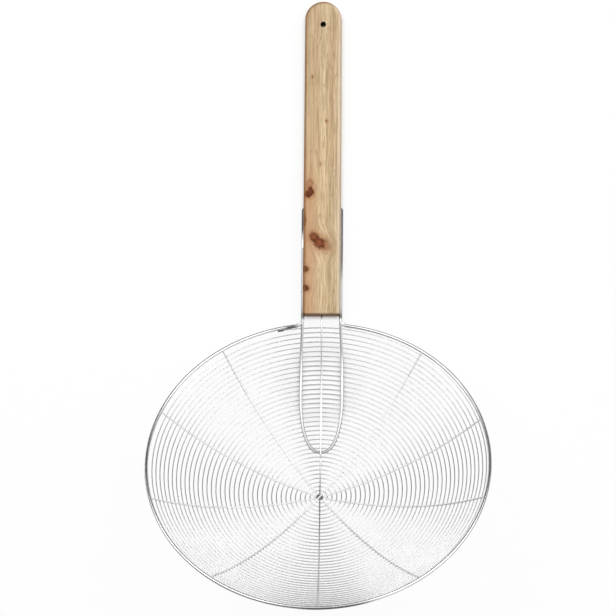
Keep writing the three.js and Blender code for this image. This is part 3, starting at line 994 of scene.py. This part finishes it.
wire_piece("basket_spine", spine, RIB_WIRE, RIB_SIDES, "spine_wire", thin_steel, painted_shade_on_spine(spine))
wire_piece("basket_cross_rib", cross_rib_path(), RIB_WIRE, RIB_SIDES, "cross_rib_wire", rib_steel)
for number, azimuth in enumerate(RIB_AZIMUTHS, 1):
    rib = rib_path(azimuth)
    wire_piece(f"basket_rib_{number}", rib, RIB_WIRE, RIB_SIDES, f"rib_wire_{number}", rib_steel)
wire_piece("basket_spiral", spiral_path(), SPIRAL_WIRE, SPIRAL_SIDES, "spiral_wire", thin_steel)
weld_piece(weld_steel())


# Stage
FLOOR_HALF_SIZE = 30.0
FLOOR_DROP = 0.02 * MM
FLOOR_GLOW = 0.88
CONTACT_SHADE_REACH = 3 * MM
LAMP_AIM = Vector((0, -0.05, 0.02))
LAMP_ELEVATION = 52
LAMP_DISTANCE = 1.5
LAMP_SIZE = 1.2


def floor():
    """White floor: it glows where it is seen, with painted shade that dims the glow close to the object, and
    is matt paint otherwise.
    """
    x = np.array([-1, 1, 1, -1]) * FLOOR_HALF_SIZE
    y = np.array([-1, -1, 1, 1]) * FLOOR_HALF_SIZE
    piece = mesh_piece("floor", rows(x, y, -FLOOR_DROP), [np.array([[0, 1, 2, 3]])])
    material, shader = new_material("floor_white")
    path = shader.node("ShaderNodeLightPath")
    outputs = path.output.node.outputs
    seen = Socket(shader, outputs["Is Camera Ray"]) + Socket(shader, outputs["Is Glossy Ray"])
    seen = seen + Socket(shader, outputs["Is Transmission Ray"])
    paint = shader.node("ShaderNodeBsdfDiffuse", {}, {"Color": (0.95, 0.95, 0.95, 1)})
    glow = shader.node("ShaderNodeEmission", {}, {"Color": (1, 1, 1, 1), "Strength": 1.0})
    reach = {"Distance": CONTACT_SHADE_REACH}
    # painted contact shade: ambient occlusion close to the object dims the floor's glow
    near = shader.node("ShaderNodeAmbientOcclusion", {"samples": 8}, reach, output="AO")
    share = seen * near * near * FLOOR_GLOW
    both = shader.node("ShaderNodeMixShader", {}, {0: share, 1: paint, 2: glow})
    shader.node("ShaderNodeOutputMaterial", {}, {"Surface": both})
    piece.data.materials.append(material)


def dome():
    """Studio dome: pale on the right, overhead, at the back left and high at the front, dark elsewhere."""
    world = bpy.data.worlds.new("studio")
    bpy.context.scene.world = world
    world.use_nodes = True
    shader = Shader(world.node_tree)
    right, ahead, up = shader.parts(shader.node("ShaderNodeTexCoord", output="Generated"))
    high = up.step(0.5, 0.7)
    on_right = right.step(0.18, 0.45) * up.step(0.1, 0.3)
    back_left = (-right).step(0.2, 0.45) * ahead.step(0.1, 0.35) * 0.75
    front = (-ahead).step(0.2, 0.36) * (1 - (-ahead).step(0.45, 0.6)) * high * 0.85
    overhead = ahead.step(-0.16, -0.05) * (1 - ahead.step(0.22, 0.38)) * up.step(0.75, 0.9) * 0.75
    overhead = overhead * right.step(-0.5, -0.3)
    pale = on_right.at_least(back_left).at_least(overhead).at_least(front)
    pale = pale * (1 - ahead.step(0.2, 0.42) * (1 - high))
    colour = shader.mix(pale, (0.07, 0.07, 0.072), (0.85, 0.85, 0.85))
    back = shader.node("ShaderNodeBackground", {}, {"Color": colour, "Strength": 1.0})
    shader.node("ShaderNodeOutputWorld", {}, {"Surface": back})


def softbox(name, azimuth, power):
    """Square lamp that faces the skimmer, at an azimuth counted from +X."""
    turn, rise = math.radians(azimuth), math.radians(LAMP_ELEVATION)
    away = Vector((math.cos(turn) * math.cos(rise), math.sin(turn) * math.cos(rise), math.sin(rise)))
    lamp = bpy.data.lights.new(name, "AREA")
    lamp.shape = "SQUARE"
    lamp.size = LAMP_SIZE
    lamp.energy = power
    holder = bpy.data.objects.new(name, lamp)
    bpy.context.scene.collection.objects.link(holder)
    holder.location = LAMP_AIM + away * LAMP_DISTANCE
    holder.rotation_mode = "QUATERNION"
    holder.rotation_quaternion = away.to_track_quat("Z", "Y")
    holder.visible_camera = False


floor()
dome()
softbox("softbox_back_right", 42, 11.0)
softbox("softbox_back_left", 138, 11.5)


# Camera: the photograph's view, nearly from above
CAMERA_ELEVATION = math.radians(80.197)
CAMERA_AZIMUTH = math.radians(-13.145)
CAMERA_ROLL = math.radians(-12.933)
CAMERA_DISTANCE = 2500 * MM
CAMERA_AIM = Vector((-8.36, -1.63, 20)) * MM
PIXELS_PER_MM = 1.54925
PHOTO_WIDTH = 616
SENSOR = 36


def camera():
    """Camera aimed at a point from an azimuth and elevation, rolled about its own axis."""
    rise, turn = CAMERA_ELEVATION, CAMERA_AZIMUTH
    ahead = Vector((math.sin(turn) * math.cos(rise), math.cos(turn) * math.cos(rise), -math.sin(rise)))
    right = ahead.cross(Vector((0, 0, 1))).normalized()
    above = right.cross(ahead)
    lean, roll = math.cos(CAMERA_ROLL), math.sin(CAMERA_ROLL)
    right, above = lean * right + roll * above, lean * above - roll * right
    data = bpy.data.cameras.new("photo_camera")
    data.sensor_width = SENSOR
    data.lens = SENSOR * PIXELS_PER_MM * CAMERA_DISTANCE / MM / PHOTO_WIDTH
    data.clip_end = 100
    holder = bpy.data.objects.new("photo_camera", data)
    bpy.context.scene.collection.objects.link(holder)
    holder.matrix_world = Matrix.Translation(CAMERA_AIM - CAMERA_DISTANCE * ahead) @ Matrix(
        (right, above, -ahead)
    ).transposed().to_4x4()
    bpy.context.scene.camera = holder


camera()
bpy.context.scene.view_settings.view_transform = "Standard"

bpy.context.view_layer.update()
